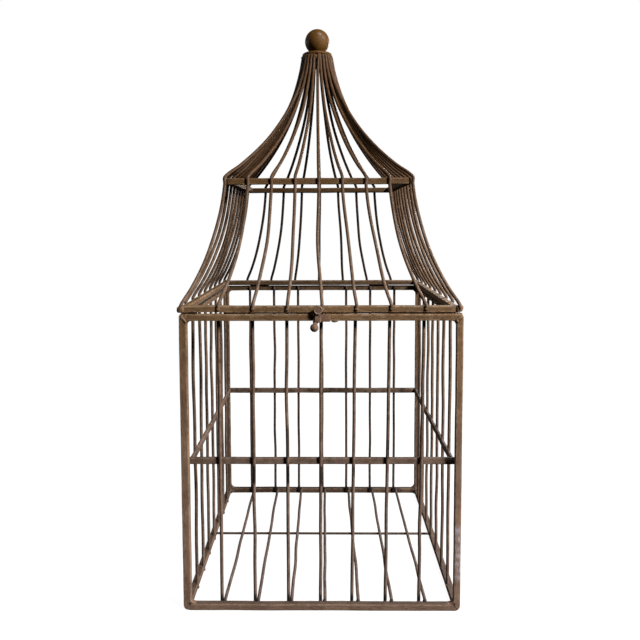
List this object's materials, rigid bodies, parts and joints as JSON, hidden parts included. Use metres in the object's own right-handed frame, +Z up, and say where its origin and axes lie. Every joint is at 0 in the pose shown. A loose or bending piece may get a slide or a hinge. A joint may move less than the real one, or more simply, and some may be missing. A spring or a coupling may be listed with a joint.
{
  "type": "wire bird cage",
  "caption": "Square wire bird cage of rusted iron with a tall pagoda-shaped wire roof that swings open on rear hinges and is held by a small front hook latch.",
  "frame": {"origin": "middle of the square footprint, on the surface the cage stands on", "axes": "+Z up, -Y towards the front with the latch, +Y towards the hinges, +X to the right seen from the front"},
  "size_m": [0.2819, 0.2957, 0.6191],
  "materials": {
    "frame_iron": "rough warm brown rust with darker pits and lighter worn edges",
    "wire_iron": "brown rust, smoother than the bars, tan-grey where it is rubbed",
    "crown_iron": "smooth olive-brown rust with small lighter scuffs",
    "latch_iron": "pinkish brown rust, rubbed lighter by handling"
  },
  "bodies": {
    "body": {"post_front_left": "frame_iron", "post_front_right": "frame_iron", "post_back_right": "frame_iron", "post_back_left": "frame_iron", "upper_rail_front": "frame_iron", "upper_rail_right": "frame_iron", "upper_rail_back": "frame_iron", "upper_rail_left": "frame_iron", "lower_rail_front": "frame_iron", "lower_rail_right": "frame_iron", "lower_rail_back": "frame_iron", "lower_rail_left": "frame_iron", "wall_grille_front": "wire_iron", "wall_grille_right": "wire_iron", "wall_grille_back": "wire_iron", "wall_grille_left": "wire_iron", "floor_grille": "wire_iron", "latch_keeper": "latch_iron", "hinge_barrel_left": "latch_iron", "hinge_barrel_right": "latch_iron"},
    "lid": {"lid_base_frame": "frame_iron", "lid_neck_frame": "frame_iron", "roof_wire_corner_front_left": "wire_iron", "roof_wire_corner_front_right": "wire_iron", "roof_wire_corner_back_right": "wire_iron", "roof_wire_corner_back_left": "wire_iron", "roof_wire_front_1": "wire_iron", "roof_wire_front_2": "wire_iron", "roof_wire_front_3": "wire_iron", "roof_wire_front_4": "wire_iron", "roof_wire_front_5": "wire_iron", "roof_wire_front_6": "wire_iron", "roof_wire_front_7": "wire_iron", "roof_wire_right_1": "wire_iron", "roof_wire_right_2": "wire_iron", "roof_wire_right_3": "wire_iron", "roof_wire_right_4": "wire_iron", "roof_wire_right_5": "wire_iron", "roof_wire_right_6": "wire_iron", "roof_wire_right_7": "wire_iron", "roof_wire_back_1": "wire_iron", "roof_wire_back_2": "wire_iron", "roof_wire_back_3": "wire_iron", "roof_wire_back_4": "wire_iron", "roof_wire_back_5": "wire_iron", "roof_wire_back_6": "wire_iron", "roof_wire_back_7": "wire_iron", "roof_wire_left_1": "wire_iron", "roof_wire_left_2": "wire_iron", "roof_wire_left_3": "wire_iron", "roof_wire_left_4": "wire_iron", "roof_wire_left_5": "wire_iron", "roof_wire_left_6": "wire_iron", "roof_wire_left_7": "wire_iron", "crown_cap": "crown_iron", "finial_ball": "crown_iron", "hinge_staple_left": "latch_iron", "hinge_staple_right": "latch_iron", "latch_rivet": "latch_iron"},
    "lever": {"latch_lever": "latch_iron"}
  },
  "joints": [
    {"name": "lid_hinge", "type": "hinge", "parent": "body", "child": "lid", "pos_m": [0, 0.1435, 0.30365], "axis": [-1, 0, 0], "range_deg": [0, 175]},
    {"name": "latch_pivot", "type": "hinge", "parent": "lid", "child": "lever", "pos_m": [-0.0028, -0.142, 0.308], "axis": [0, -1, 0], "range_deg": [-168, 13]}
  ]
}
